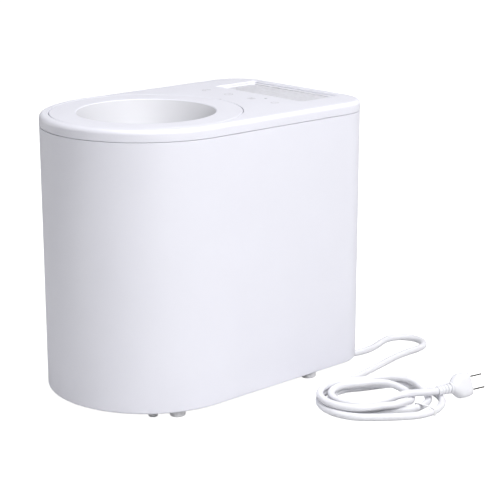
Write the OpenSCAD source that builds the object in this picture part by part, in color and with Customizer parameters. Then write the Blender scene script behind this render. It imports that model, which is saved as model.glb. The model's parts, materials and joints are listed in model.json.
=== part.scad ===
// Cool mist humidifier: an upright tub with one round end and one flat end.
// A round tank with a wick lifts out of the round end, and a fan behind it
// draws air in through the grille and blows it through the wick.
// Origin: centre of the floor area of the object without its cord, +Z up.
// The round end points to -X and the flat end to +X.

/* [Body] */
// full width of the body [mm]
body_w = 200; // [160:1:240]
// full length of the body, round end to flat end [mm]
body_l = 308; // [240:1:360]
// height of the body above its feet [mm]
body_h = 265; // [200:1:320]
// height of the feet under the body [mm]
foot_h = 7; // [4:1:15]
// side height of the top cover, which ends at the seam [mm]
cover_h = 11; // [8:1:20]
// radius of the two corners at the flat end [mm]
corner_r = 38; // [25:1:60]
// radius of the rounded top edge [mm]
edge_r = 4.5; // [2:0.5:7]
// thickness of the housing wall [mm]
wall = 3; // [2:0.2:4]

/* [Tank and lid] */
// outer radius of the lid ring [mm]
lid_r = 90.6; // [80:0.1:92]
// radius of the funnel at its rim [mm]
funnel_r = 66.2; // [50:0.2:72]
// radius of the outlet hole at the bottom of the funnel [mm]
outlet_r = 41; // [30:1:48]
// depth of the funnel [mm]
funnel_d = 21; // [10:1:30]
// outer radius of the tank [mm]
tank_r = 88; // [80:0.5:89]
// height of the water at its highest level above the tank floor [mm]
water_h = 120; // [80:5:125]

/* [Wick] */
// outer radius of the wick [mm]
wick_r = 66; // [55:1:68]
// inner radius of the wick [mm]
wick_inner_r = 47; // [35:1:50]
// number of pleats in the wick
wick_pleats = 40; // [24:1:60]

/* [Grille] */
// length of the grille along the body [mm]
grille_l = 54; // [40:1:60]
// width of the grille across the body [mm]
grille_w = 124; // [80:1:130]
// distance between the grille's bars [mm]
bar_pitch = 4; // [3.5:0.5:8]

/* [Fan] */
// side of the square fan frame [mm]
fan_size = 92; // [80:1:92]
// depth of the fan frame [mm]
fan_d = 25; // [20:1:30]
// number of fan blades
fan_blades = 7; // [5:1:9]

/* [Controls] */
// distance between the touch marks [mm]
mark_pitch = 33.3; // [25:0.1:40]
// radius of each touch mark [mm]
mark_r = 4.8; // [3:0.1:7]

/* [Mains lead] */
// diameter of the mains lead [mm]
cord_d = 7; // [5:0.5:9]

/* [Hidden] */
$fn = 96;
half_w = body_w / 2;
half_l = body_l / 2;
round_x = half_w - half_l;
seam_z = foot_h + body_h - cover_h;
top_z = foot_h + body_h;
corner_x = half_l - corner_r;
corner_y = half_w - corner_r;
eps = 0.1;
gap = 0.3;

// top cover
plate_t = 4;
plate_z = top_z - plate_t;
lid_hole_r = lid_r + 0.6;
lid_plate_t = 3;
grille_x = 115;
mark_x = 64.5;
mark_t = 0.5;
dot_x = round_x + lid_hole_r + 1.8;
dot_r = 1.1;
lamp_x = 75;
lamp_y = -26;
lamp_r = 1.6;

// base
base_z = foot_h + 1.5;
base_t = 3;
base_top = base_z + base_t;
liner_z = 22;

// tank
liner_r = 95;
liner_t = 2.4;
liner_top = seam_z - 5.5;
tank_z = 26;
tank_t = 2.5;
tank_top = 262;
window_w = 76;
window_z = 156;
window_h = 72;

// fan
fan_x = 58;
fan_z = 192;
fan_bore_r = fan_size / 2 - 3;
duct_w = window_w + 8;
duct_h = window_h + 8;
duct_t = 3;

// wick
wick_z = 34;
wick_h = 192;
wick_frame_r = 69;

// float
float_x = round_x + 77;
float_z = 31;
float_r = 6;
float_travel = 88;

// mains lead: it leaves the gland level and straight, comes down inside the
// tunnel of the base, passes under the rear corner, turns back in one fold
// on the floor and runs into the coil
cord_r = cord_d / 2;
exit_p = [72, -54, 18];
exit_turn = -17;
boot_l = 26;
cord_route = [
  [96.9, -61.6, 18],
  [103, -63.5, 17.6],
  [113, -66.5, 15.4],
  [123, -69.6, 11.8],
  [133, -72.7, 7.6],
  [143, -75.7, 4.6],
  [153, -78.4, 3.6],
  [165, -80.2, 3.6],
  [178, -79.6, 3.6],
  [190, -76.4, 3.6],
  [201.5, -72.6, 3.6],
  [213, -70.7, 3.6],
  [223.6, -73.6, 3.6],
  [231.4, -81.4, 3.6],
  [234.3, -92, 3.6],
  [231.4, -102.6, 3.6],
  [223.6, -110.4, 3.6],
  [213, -113.3, 3.6],
  [199, -113.4, 3.6],
  [184, -114, 3.6],
  [168, -116.4, 3.6],
  [152, -119.6, 3.6],
  [136, -122.8, 3.6],
  [120, -125.8, 3.6],
  [105, -128.4, 3.6],
  [90, -131.1, 3.6],
  [79, -133, 3.6],
  [69, -134.8, 3.6]
];
cord_tail = [
  [83.5, -218.6, 12.4],
  [91, -219.9, 12.4],
  [98.5, -221.2, 12.3],
  [106, -222.5, 12.1],
  [113.3, -223.7, 12]
];
coil_p = [72, -189.5];
coil_turn = -38;
coil_half_l = 62;
coil_half_w = 46;
coil_band = 24;
layer_h = 7.1;
coil_h = 14;
upper_shift = -15;
upper_half_l = 46;
upper_half_w = 40;
plug_p = [113.3, -223.7, 12];
plug_turn = -11;
plug_roll = -25;
plug_boot_l = 17;
plug_l = 22;
plug_w = 24;
plug_t = 14;
blade_l = 16;
blade_w = 6.3;
blade_t = 1.5;
blade_gap = 12.7;

board_post_p = [[66, -30], [66, 58], [138, -30], [138, 58]];
board_z = 36;
board_t = 1.6;
board_top = board_z + board_t;
control_x = half_l - wall - 7.1;

foot_p = [[-88, -81], [-88, 81], [75, -89], [75, 89]];
stub_p = [[-106, -67], [-106, 67]];
front_screw_p = [[-112, -45], [-112, 45]];
side_screw_p = [[54, -91.5], [54, 91.5]];
rear_screw_p = [[145.5, -40], [145.5, 40]];
base_screw_p = concat(front_screw_p, side_screw_p, rear_screw_p);

// ---- shared shapes ----

// outline of the body seen from above, moved inward by inset
module u_shape(inset) {
  translate([round_x, 0])
    circle(r = half_w - inset);
  translate([round_x, inset - half_w])
    square([corner_x - round_x, body_w - 2 * inset]);
  translate([corner_x - 1, -corner_y])
    square([corner_r + 1 - inset, 2 * corner_y]);
  for (side = [-1, 1])
    translate([corner_x, side * corner_y])
      circle(r = corner_r - inset);
}

// carries a wall profile round the outline; in the profile the outer face
// is at x = 0, the inside is at negative x, and y is the height
module wall_sweep() {
  translate([round_x, 0, 0])
    rotate_extrude(angle = 180, start = 90)
      translate([half_w, 0])
        children();
  for (side = [0, 1]) {
    mirror([0, side, 0]) {
      translate([round_x, 0, 0])
        rotate([90, 0, 90])
          linear_extrude(corner_x - round_x)
            translate([half_w, 0])
              children();
      translate([corner_x, corner_y, 0])
        rotate_extrude(angle = 90)
          translate([corner_r, 0])
            children();
    }
  }
  translate([half_l, corner_y, 0])
    rotate([90, 0, 0])
      linear_extrude(2 * corner_y)
        children();
}

// ring between two heights
module ring(outer, inner, z0, z1) {
  translate([0, 0, z0])
    difference() {
      cylinder(r = outer, h = z1 - z0);
      translate([0, 0, -eps])
        cylinder(r = inner, h = z1 - z0 + 2 * eps);
    }
}

// box given by its centre in x and y and its lowest z
module block(x, y, z, size) {
  translate([x - size[0] / 2, y - size[1] / 2, z])
    cube(size);
}

// places children at each point of a list, at height z
module at_points(points, z) {
  for (p = points)
    translate([p[0], p[1], z])
      children();
}

// direction of a route at point i
function heading(p, i) =
  let (a = p[max(i - 1, 0)], b = p[min(i + 1, len(p) - 1)], d = b - a)
    d / norm(d);

// point of the ring round route point i
function ring_point(p, i, r, angle) =
  let (
    d = heading(p, i),
    side = cross(d, [0, 0, 1]) / norm(cross(d, [0, 0, 1])),
    up = cross(side, d)
  )
    p[i] + r * (cos(angle) * side + sin(angle) * up);

// round tube along a route, with flat ends
module tube(route, r, sides) {
  n = len(route);
  points = [
    for (i = [0:n - 1])
      for (k = [0:sides - 1])
        ring_point(route, i, r, k * 360 / sides)
  ];
  walls = [
    for (i = [0:n - 2])
      for (k = [0:sides - 1])
        let (
          a = i * sides + k,
          b = i * sides + (k + 1) % sides
        )
          each [[a, b, b + sides], [a, b + sides, a + sides]]
  ];
  first = [for (k = [0:sides - 1]) sides - 1 - k];
  last = [for (k = [0:sides - 1]) (n - 1) * sides + k];
  polyhedron(points, concat([first], walls, [last]));
}

// ---- housing and base ----

// wall profile: a plain wall with a small bevel at its lower outer edge
module housing_profile() {
  bevel = 1;
  polygon([
    [-wall, foot_h],
    [-bevel, foot_h],
    [0, foot_h + bevel],
    [0, seam_z],
    [-wall, seam_z]
  ]);
}

module housing() {
  boss_r = 4.5;
  boss_h = 16;
  boss_z = base_top + gap;
  post_r = 3;
  post_x = half_l - wall;
  notch_w = 15;
  color("white") {
    difference() {
      wall_sweep() housing_profile();
      translate([corner_x, -corner_y, 0])
        rotate(exit_turn)
          translate([20, -notch_w / 2 - 5.6, 0])
            cube([30, notch_w, foot_h + 5]);
    }
    // bosses on the walls that take four of the base screws
    difference() {
      union() {
        at_points(concat(side_screw_p, rear_screw_p), boss_z)
          cylinder(r = boss_r, h = boss_h);
        for (p = side_screw_p)
          block(p[0], sign(p[1]) * (half_w - wall - 1), boss_z, [4, 6, boss_h]);
        for (p = rear_screw_p)
          block(half_l - wall - 1, p[1], boss_z, [6, 4, boss_h]);
      }
      at_points(concat(side_screw_p, rear_screw_p), boss_z - 1)
        cylinder(r = 1.6, h = 8);
    }
    // posts that hold the control board on the flat end
    for (y = [-44, 44])
      for (z = [66, 134])
        translate([post_x - 5.5, y, z])
          rotate([0, 90, 0])
            cylinder(r = post_r, h = 6);
  }
}

// the tunnel that the lead leaves through, along +X from its inner wall
module tunnel_block(grow, z0, z1) {
  translate([exit_p[0], exit_p[1], 0])
    rotate(exit_turn)
      translate([-grow, -8 - grow, z0])
        cube([100, 16 + 2 * grow, z1 - z0]);
}

module base_plate() {
  side_gap = wall + 0.2;
  color("whitesmoke")
    difference() {
      union() {
        intersection() {
          union() {
            translate([0, 0, base_z])
              linear_extrude(base_t)
                u_shape(side_gap);
            tunnel_block(3, base_z, 29);
          }
          linear_extrude(80)
            u_shape(side_gap);
        }
        // posts under the power board
        at_points(board_post_p, base_top - eps)
          cylinder(r = 3.5, h = board_z - base_top + eps);
      }
      tunnel_block(0, base_z - 1, 26);
      // bore for the gland
      translate([exit_p[0], exit_p[1], exit_p[2]])
        rotate([0, 90, exit_turn])
          translate([0, 0, -6])
            cylinder(r = 5.4, h = 8);
      at_points(base_screw_p, base_z - eps)
        cylinder(r = 4, h = 1.6);
      at_points(base_screw_p, base_z - eps)
        cylinder(r = 1.8, h = 9);
      // air slots under the power board
      for (i = [0:4])
        block(88 + 9 * i, 20, base_z - 1, [3, 50, base_t + 2]);
    }
}

module feet() {
  color("dimgray")
    at_points(foot_p, 0) {
      cylinder(r1 = 6.5, r2 = 7.5, h = 1);
      translate([0, 0, 1])
        cylinder(r = 7.5, h = base_z - 1);
    }
}

module level_stubs() {
  color("gray")
    at_points(stub_p, 0) {
      cylinder(r1 = 3.9, r2 = 4.5, h = 0.6);
      translate([0, 0, 0.6])
        cylinder(r = 4.5, h = base_z - 0.6);
    }
}

module base_screws() {
  color("silver")
    at_points(base_screw_p, base_z)
      difference() {
        union() {
          cylinder(r = 3.4, h = 1.4);
          cylinder(r = 1.4, h = 8.5);
        }
        // cross slots
        block(0, 0, -eps, [4, 0.9, 0.8]);
        block(0, 0, -eps, [0.9, 4, 0.8]);
      }
}

module rating_plate() {
  color("silver")
    block(10, 0, base_z - 0.5, [60, 40, 0.5]);
}

// ---- top cover ----

// profile of the cover's rim: straight side, rounded top edge, and a lip
// that drops inside the housing
module cover_profile() {
  lip_h = 5;
  depth = 16;
  translate([-depth, plate_z])
    square([depth - edge_r, plate_t]);
  translate([-wall, seam_z])
    square([wall, cover_h - edge_r]);
  translate([-edge_r, top_z - edge_r])
    intersection() {
      circle(r = edge_r);
      square(edge_r);
    }
  translate([-edge_r - 2, seam_z - lip_h])
    square([edge_r - wall + 2 - 0.2, lip_h]);
  translate([-edge_r - 2, seam_z])
    square([edge_r + 2 - wall + eps, cover_h - edge_r]);
  translate([-edge_r - 2, seam_z])
    square([2 + eps, cover_h - plate_t + eps]);
}

module top_cover() {
  frame_t = 2;
  ledge = 3;
  frame_z = 257;
  color("white")
    difference() {
      union() {
        wall_sweep() cover_profile();
        translate([0, 0, plate_z])
          linear_extrude(plate_t)
            u_shape(15);
        // pocket under the grille
        block(grille_x, 0, frame_z, [grille_l + 2 * frame_t, grille_w + 2 * frame_t, plate_z - frame_z + 1]);
      }
      translate([round_x, 0, frame_z - 5])
        cylinder(r = lid_hole_r, h = 30);
      block(grille_x, 0, frame_z + 2, [grille_l, grille_w, 30]);
      block(grille_x, 0, frame_z - 1, [grille_l - 2 * ledge, grille_w - 2 * ledge, 10]);
      for (i = [-1.5:1:1.5])
        translate([mark_x, i * mark_pitch, top_z - mark_t])
          cylinder(r = mark_r + 0.1, h = 2);
      translate([dot_x, 0, top_z - mark_t])
        cylinder(r = dot_r + 0.05, h = 2);
      translate([lamp_x, lamp_y, plate_z - 1])
        cylinder(r = lamp_r + 0.05, h = plate_t + 2);
    }
}

// one touch mark: a round pad with its own simple sign cut through
module touch_mark(kind) {
  linear_extrude(mark_t)
    difference() {
      circle(r = mark_r);
      if (kind == 0) {
        square([5, 1], center = true);
      }
      if (kind == 1) {
        square([1, 5], center = true);
        square([5, 1], center = true);
      }
      if (kind == 2) {
        circle(r = 2);
      }
      if (kind == 3) {
        translate([0, -1.4]) square([5, 0.8], center = true);
        translate([0, 1.4]) square([5, 0.8], center = true);
      }
    }
}

module touch_marks() {
  color("lightgray")
    for (i = [0:3])
      translate([mark_x, (i - 1.5) * mark_pitch, top_z - mark_t])
        touch_mark(i);
}

module status_lamp() {
  color("lightgray")
    translate([lamp_x, lamp_y, 263])
      cylinder(r = lamp_r, h = top_z - 263);
}

// small mark beside the lid that shows which way round it goes
module align_dot() {
  color("gainsboro")
    translate([dot_x, 0, top_z - mark_t])
      cylinder(r = dot_r, h = mark_t);
}

// ---- well, tank and wick ----

module window_cut(from_x) {
  block(from_x + 20, 0, window_z, [40, window_w, window_h]);
}

module well_liner() {
  color("whitesmoke")
    difference() {
      union() {
        translate([round_x, 0, 0]) {
          ring(liner_r, liner_r - liner_t, liner_z, liner_top);
          translate([0, 0, liner_z])
            cylinder(r = liner_r, h = 2.4);
        }
        // bosses over the two front base screws
        at_points(front_screw_p, base_top + gap)
          cylinder(r = 4.5, h = liner_z - base_top);
      }
      at_points(front_screw_p, base_top)
        cylinder(r = 1.6, h = 7);
      window_cut(12);
    }
}

// four pads that the tank stands on
module liner_pads() {
  pad_z = liner_z + 2.4;
  color("gray")
    for (a = [45:90:315])
      translate([round_x, 0, pad_z])
        rotate(a)
          translate([60, 0, 0])
            cylinder(r = 7, h = tank_z - pad_z - gap);
}

module tank() {
  rim_r = 90.4;
  rim_h = 3;
  inner_r = tank_r - tank_t;
  color("aliceblue", 0.6)
    difference() {
      translate([round_x, 0, 0])
        rotate_extrude()
          polygon([
            [0, tank_z],
            [tank_r, tank_z],
            [tank_r, tank_top - rim_h],
            [rim_r, tank_top - rim_h],
            [rim_r, tank_top],
            [inner_r, tank_top],
            [inner_r, tank_z + tank_t],
            [0, tank_z + tank_t]
          ]);
      window_cut(6);
    }
}

// ring on the tank floor that keeps the wick centred, open at the float
module tank_collar() {
  collar_r = wick_frame_r + 1;
  collar_t = 2;
  collar_h = 5.5;
  z = tank_z + tank_t;
  color("aliceblue", 0.6)
    difference() {
      translate([round_x, 0, 0])
        ring(collar_r + collar_t, collar_r, z, z + collar_h);
      block(round_x + collar_r + 1, 0, z - 1, [8, 2 * float_r + 4, collar_h + 2]);
    }
}

// soft ring in the lid's seat on the tank rim
module tank_seal_ring() {
  color("gray")
    translate([round_x, 0, 0])
      ring(87.6, 85.9, tank_top, tank_top + 1);
}

module float_rod() {
  color("whitesmoke")
    translate([float_x, 0, tank_z + tank_t]) {
      cylinder(r = 1.9, h = float_travel + 24);
      translate([0, 0, float_travel + 22])
        cylinder(r = 4, h = 3);
    }
}

module float() {
  color("white")
    translate([float_x, 0, 0])
      difference() {
        ring(float_r, 2.3, float_z, float_z + 18);
        ring(5.2, 3.2, float_z + 12, float_z + 30);
      }
}

module float_magnet() {
  color("dimgray")
    translate([float_x, 0, 0])
      ring(5.1, 3.3, float_z + 12.1, float_z + 16);
}

// pleated paper ring that soaks up the water
module wick() {
  count = 2 * wick_pleats;
  pleat = 5;
  color("lightblue")
    translate([round_x, 0, wick_z])
      linear_extrude(wick_h)
        difference() {
          polygon([
            for (i = [0:count - 1])
              let (r = wick_r - (i % 2) * pleat, a = i * 360 / count)
                [r * cos(a), r * sin(a)]
          ]);
          circle(r = wick_inner_r);
        }
}

module wick_frame() {
  foot_z = tank_z + tank_t + gap;
  head_z = wick_z + wick_h;
  head_t = 5;
  inner_r = wick_inner_r - 4;
  rib_t = 2.6;
  color("skyblue")
    translate([round_x, 0, 0]) {
      ring(wick_frame_r, inner_r, foot_z, wick_z);
      ring(wick_frame_r, inner_r, head_z, head_z + head_t);
      for (a = [30:60:330])
        rotate(a)
          translate([inner_r + 0.6, -2, foot_z + 2])
            cube([rib_t, 4, head_z - foot_z]);
      // bar to lift it by
      block(0, 0, head_z + 1, [2 * wick_inner_r, 10, head_t - 2]);
    }
}

// flat ring of the lid with its skirt
module tank_lid() {
  bevel = 0.8;
  skirt_t = 2.4;
  skirt_z = tank_top + gap;
  color("white")
    translate([round_x, 0, 0])
      rotate_extrude()
        polygon([
          [funnel_r, top_z - lid_plate_t],
          [funnel_r, top_z],
          [lid_r - bevel, top_z],
          [lid_r, top_z - bevel],
          [lid_r, skirt_z],
          [lid_r - skirt_t, skirt_z],
          [lid_r - skirt_t, top_z - lid_plate_t]
        ]);
}

// funnel that hangs in the lid's ring, with a short throat
module outlet_funnel() {
  skin = 2.2;
  throat_z = top_z - funnel_d;
  throat_h = 3;
  color("white")
    translate([round_x, 0, 0])
      rotate_extrude()
        polygon([
          [outlet_r, throat_z],
          [funnel_r, top_z],
          [funnel_r, top_z - lid_plate_t],
          [outlet_r + skin, throat_z - 1],
          [outlet_r + skin, throat_z - throat_h],
          [outlet_r, throat_z - throat_h]
        ]);
}

// ---- grille ----

module inlet_grille() {
  clear = 0.3;
  l = grille_l - 2 * clear;
  w = grille_w - 2 * clear;
  rim = 3;
  z = 266.3;
  h = 3.6;
  rows = floor((l - 2 * rim) / bar_pitch);
  color("gainsboro") {
    difference() {
      block(grille_x, 0, z, [l, w, h]);
      block(grille_x, 0, z - 1, [l - 2 * rim, w - 2 * rim, h + 2]);
    }
    for (i = [1:rows - 1])
      block(grille_x - l / 2 + rim + i * (l - 2 * rim) / rows, 0, z + 1, [1.8, w - 2 * rim + 1, h - 1.6]);
    for (y = [-50:10:50])
      block(grille_x, y, z, [l - 2 * rim + 1, 1.6, 2]);
  }
}

module dust_filter() {
  color("dimgray")
    block(grille_x, 0, 259.3, [grille_l - 1, grille_w - 1, 6.6]);
}

// ---- air duct and fan ----

module duct_box(grow, x0, x1) {
  translate([x0, -duct_w / 2 - grow, fan_z - duct_h / 2 - grow])
    cube([x1 - x0, duct_w + 2 * grow, duct_h + 2 * grow]);
}

module fan_duct() {
  flange = 2.5;
  color("whitesmoke")
    difference() {
      union() {
        duct_box(duct_t, 26, fan_x - gap);
        translate([fan_x - gap - flange, -fan_size / 2 - 2, fan_z - fan_size / 2 - 2])
          cube([flange, fan_size + 4, fan_size + 4]);
      }
      duct_box(0, 20, fan_x + 5);
      translate([round_x, 0, 100])
        cylinder(r = liner_r + 2, h = 200);
      for (y = [-1, 1])
        for (z = [-1, 1])
          translate([40, y * (fan_size / 2 - 5), fan_z + z * (fan_size / 2 - 5)])
            rotate([0, 90, 0])
              cylinder(r = 1.7, h = 30);
    }
}

// foam strip between the duct and the liner
module duct_seal() {
  color("dimgray")
    intersection() {
      difference() {
        duct_box(duct_t, 26, fan_x);
        duct_box(0, 20, fan_x + 5);
      }
      translate([round_x, 0, 0])
        ring(liner_r + 1.95, liner_r + 0.05, 100, 280);
    }
}

module fan_frame() {
  hub_r = 16;
  hub_t = 3;
  strut_w = 4;
  hole_at = fan_size / 2 - 5;
  color("dimgray")
    translate([fan_x, 0, fan_z])
      rotate([0, 90, 0]) {
        linear_extrude(fan_d)
          difference() {
            square(fan_size, center = true);
            circle(r = fan_bore_r);
            for (y = [-hole_at, hole_at])
              for (z = [-hole_at, hole_at])
                translate([y, z])
                  circle(r = 1.7);
          }
        translate([0, 0, 0.5])
          linear_extrude(hub_t)
            difference() {
              union() {
                circle(r = hub_r);
                for (a = [30:60:150])
                  rotate(a)
                    square([2 * fan_bore_r + 2, strut_w], center = true);
              }
              circle(r = 1.6);
            }
      }
}

module fan_stator() {
  color("peru")
    translate([fan_x + 3.5, 0, fan_z])
      rotate([0, 90, 0])
        ring(13, 2.2, 0, 12.5);
}

module fan_shaft() {
  color("silver")
    translate([fan_x + 0.5, 0, fan_z])
      rotate([0, 90, 0])
        cylinder(r = 1.5, h = 19.5);
}

module fan_rotor() {
  hub_r = 17.5;
  cup_x = fan_x + 4.5;
  cup_h = 17;
  color("gray")
    translate([cup_x, 0, fan_z])
      rotate([0, 90, 0]) {
        difference() {
          cylinder(r = hub_r, h = cup_h);
          translate([0, 0, -1])
            cylinder(r = hub_r - 2, h = cup_h - 2 + 1);
          translate([0, 0, -1])
            cylinder(r = 1.5, h = cup_h);
        }
        intersection() {
          for (i = [0:fan_blades - 1])
            rotate(i * 360 / fan_blades)
              translate([hub_r - 0.8, 0, cup_h / 2])
                rotate([38, 0, 0])
                  translate([0, -11, -0.9])
                    cube([30, 22, 1.8]);
          ring(fan_bore_r - 1, hub_r - 0.9, 0.5, cup_h);
        }
      }
}

module fan_screws() {
  head_x = fan_x + fan_d;
  color("silver")
    for (y = [-1, 1])
      for (z = [-1, 1])
        translate([0, y * (fan_size / 2 - 5), fan_z + z * (fan_size / 2 - 5)])
          rotate([0, 90, 0]) {
            translate([0, 0, head_x])
              difference() {
                cylinder(r = 3, h = 2);
                block(0, 0, 1.2, [4, 0.8, 2]);
              }
            translate([0, 0, fan_x - 4])
              cylinder(r = 1.4, h = head_x - fan_x + 4);
          }
}

// ---- electronics ----

module touch_board() {
  color("darkgreen")
    difference() {
      block(68, 0, 260, [22, 128, 1.6]);
      translate([lamp_x, lamp_y, 255])
        cylinder(r = 1, h = 10);
    }
}

// springs between the touch board and the cover, as plain cylinders
module touch_springs() {
  color("gold")
    for (i = [-1.5:1:1.5])
      translate([mark_x, i * mark_pitch, 261.6])
        cylinder(r = 3.6, h = plate_z - 261.6);
}

module power_board() {
  color("darkgreen")
    difference() {
      block(102, 14, board_z, [84, 100, board_t]);
      at_points(board_post_p, board_z - 1)
        cylinder(r = 1.6, h = 5);
    }
}

module transformer() {
  color("goldenrod") {
    block(88, 34, board_top, [34, 28, 6]);
    block(88, 34, 43, [20, 28, 18]);
    block(88, 34, 60, [34, 28, 6]);
    block(73.5, 34, 43, [5, 28, 18]);
    block(102.5, 34, 43, [5, 28, 18]);
  }
}

module capacitors() {
  color("black") {
    translate([120, 42, board_top])
      cylinder(r = 8, h = 24);
    translate([120, 22, board_top])
      cylinder(r = 6, h = 18);
    translate([120, 5, board_top])
      cylinder(r = 6, h = 18);
  }
}

module terminal_block() {
  color("seagreen")
    difference() {
      block(80, -20, board_top, [12, 26, 12]);
      for (y = [-28, -20, -12])
        translate([80, y, 45])
          cylinder(r = 2, h = 6);
    }
}

module board_screws() {
  color("silver") {
    at_points(board_post_p, board_top)
      cylinder(r = 2.8, h = 1.8);
    for (y = [-44, 44])
      for (z = [66, 134])
        translate([control_x - 1.8, y, z])
          rotate([0, 90, 0])
            cylinder(r = 2.8, h = 1.8);
  }
}

module main_board() {
  color("darkgreen")
    translate([control_x, -52, 58])
      cube([board_t, 104, 84]);
}

module board_chips() {
  color("black") {
    translate([control_x - 2, -12, 90])
      cube([2, 24, 18]);
    translate([control_x - 3, 20, 70])
      cube([3, 12, 10]);
    translate([control_x - 14, -40, 74])
      cube([14, 18, 22]);
    for (y = [20, 34])
      translate([control_x - 12, y, 118])
        rotate([0, 90, 0])
          cylinder(r = 5, h = 12);
  }
}

module level_sensor() {
  sensor_x = round_x + liner_r;
  color("darkgreen") {
    translate([sensor_x + 1, -9, 30])
      cube([1.6, 18, 112]);
    for (z = [36, 84, 132])
      translate([sensor_x, -5, z])
        cube([1.2, 10, 4]);
  }
}

module fan_wires() {
  color("firebrick")
    tube([[84, -30, 150], [92, -31, 146], [104, -33, 134], [118, -34, 120],
          [128, -34, 110], [134, -34, 100], [135, -34, 97]], 1.6, 8);
}

module mains_wires() {
  color("saddlebrown")
    tube([[66, -52.2, 18], [60, -50, 18.6], [54.6, -46.6, 20.8], [51, -42.4, 24.6],
          [49.6, -37.8, 29.6], [50.6, -33, 34.6], [54, -28.6, 39], [59.2, -25.2, 42],
          [65.4, -22.8, 43.4], [73.6, -21, 43.6]], 2, 8);
}

// ---- mains lead ----

// profile of the gland: flange inside, neck through the wall, and the
// tapered sleeve with grooves that the lead comes out of
module gland_profile() {
  neck_r = 5.3;
  difference() {
    union() {
      translate([0, -6])
        square([6.4, 2.6]);
      translate([0, -4])
        square([neck_r, 5]);
      polygon([[0, 0.2], [6, 0.2], [4.5, boot_l], [0, boot_l]]);
    }
    for (z = [6:5:21])
      translate([4.5, z])
        square([3, 1.6]);
  }
}

module cord_gland() {
  color("white")
    translate(exit_p)
      rotate([0, 90, exit_turn])
        rotate_extrude()
          gland_profile();
}

module power_cord() {
  color("white")
    tube(cord_route, cord_r, 10);
}

module cord_tail() {
  color("white")
    tube(cord_tail, cord_r, 10);
}

// stadium outline, moved inward by inset
module coil_outline(half_l, half_w, inset) {
  run = half_l - half_w;
  for (side = [-1, 1])
    translate([side * run, 0])
      circle(r = half_w - inset);
  translate([-run, inset - half_w])
    square([2 * run, 2 * (half_w - inset)]);
}

// band of turns between two heights
module coil_layer(half_l, half_w, z, h) {
  translate([0, 0, z])
    linear_extrude(h)
      difference() {
        coil_outline(half_l, half_w, 0);
        coil_outline(half_l, half_w, coil_band);
      }
}

// two layers of turns; the upper one is shorter and leaves room for the plug
module cord_coil() {
  floor_gap = 0.1;
  color("white")
    translate([coil_p[0], coil_p[1], 0])
      rotate(coil_turn) {
        coil_layer(coil_half_l, coil_half_w, floor_gap, layer_h);
        translate([upper_shift, 0, 0])
          coil_layer(upper_half_l, upper_half_w, layer_h, coil_h - layer_h + floor_gap);
      }
}

// tie round the lower turns, on the round end nearest the plug
module cord_tie() {
  tie_w = 4;
  tie_t = 1;
  tie_turn = -50;
  inner_r = coil_half_w - coil_band - gap;
  span = coil_band + 2 * gap;
  color("white")
    translate([coil_p[0], coil_p[1], 0])
      rotate(coil_turn)
        translate([coil_half_l - coil_half_w, 0, 0])
          rotate(tie_turn)
            difference() {
              translate([inner_r - tie_t, -tie_w / 2, 0])
                cube([span + 2 * tie_t, tie_w, layer_h + 2 * gap + tie_t]);
              translate([inner_r, -tie_w, -1])
                cube([span, 2 * tie_w, layer_h + 2 * gap + 1]);
            }
}

module along_plug() {
  translate(plug_p)
    rotate([plug_roll, 0, plug_turn])
      children();
}

module plug_boot() {
  color("white")
    along_plug()
      rotate([0, 90, 0])
        rotate_extrude()
          difference() {
            polygon([[0, 0], [4.4, 0], [5.6, plug_boot_l], [0, plug_boot_l]]);
            for (z = [3:4:11])
              translate([4.2, z])
                square([3, 1.6]);
          }
}

module plug_body() {
  color("white")
    along_plug()
      translate([plug_boot_l, 0, 0])
        intersection() {
          rotate([90, 0, 0])
            linear_extrude(plug_t, center = true)
              polygon([
                [0, -6],
                [6, -plug_w / 2 + 1],
                [9, -plug_w / 2 + 0.1],
                [plug_l - 3, -plug_w / 2 + 0.1],
                [plug_l, -plug_w / 2 + 3],
                [plug_l, plug_w / 2 - 3],
                [plug_l - 3, plug_w / 2 - 0.1],
                [9, plug_w / 2 - 0.1],
                [6, plug_w / 2 - 1],
                [0, 6]
              ]);
          // rounds the long edges, so that the rolled plug stays off the floor
          rotate([0, 90, 0])
            cylinder(r = plug_w / 2 - 0.1, h = plug_l);
          translate([0, 0, -plug_w])
            linear_extrude(2 * plug_w)
              polygon([
                [0, -5.6],
                [8, -plug_t / 2],
                [plug_l - 2, -plug_t / 2],
                [plug_l, -plug_t / 2 + 2],
                [plug_l, plug_t / 2 - 2],
                [plug_l - 2, plug_t / 2],
                [8, plug_t / 2],
                [0, 5.6]
              ]);
        }
}

module plug_blades() {
  hole_r = 1.6;
  color("silver")
    along_plug()
      for (side = [-1, 1])
        translate([plug_boot_l + plug_l - 0.1, -blade_w / 2, side * blade_gap / 2 - blade_t / 2])
          difference() {
            cube([blade_l, blade_w, blade_t]);
            translate([blade_l - 4, blade_w / 2, -1])
              cylinder(r = hole_r, h = blade_t + 2);
          }
}

housing();
base_plate();
feet();
level_stubs();
base_screws();
rating_plate();
top_cover();
touch_marks();
status_lamp();
align_dot();
well_liner();
liner_pads();
tank();
tank_seal_ring();
float_rod();
float();
float_magnet();
wick();
wick_frame();
tank_lid();
outlet_funnel();
tank_collar();
inlet_grille();
dust_filter();
fan_duct();
duct_seal();
fan_frame();
fan_stator();
fan_shaft();
fan_rotor();
fan_screws();
touch_board();
touch_springs();
power_board();
transformer();
capacitors();
terminal_block();
board_screws();
main_board();
board_chips();
level_sensor();
fan_wires();
mains_wires();
cord_gland();
power_cord();
cord_tail();
cord_coil();
cord_tie();
plug_boot();
plug_body();
plug_blades();
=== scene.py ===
"""Cool mist humidifier: the visual model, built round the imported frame.

Shapes are worked out in millimetres and turned into metres as meshes are made.
Inset is the distance inward from the body's outline seen from above.
"""

import json
import math

import bmesh
import bpy
from mathutils import Matrix, Vector


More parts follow.
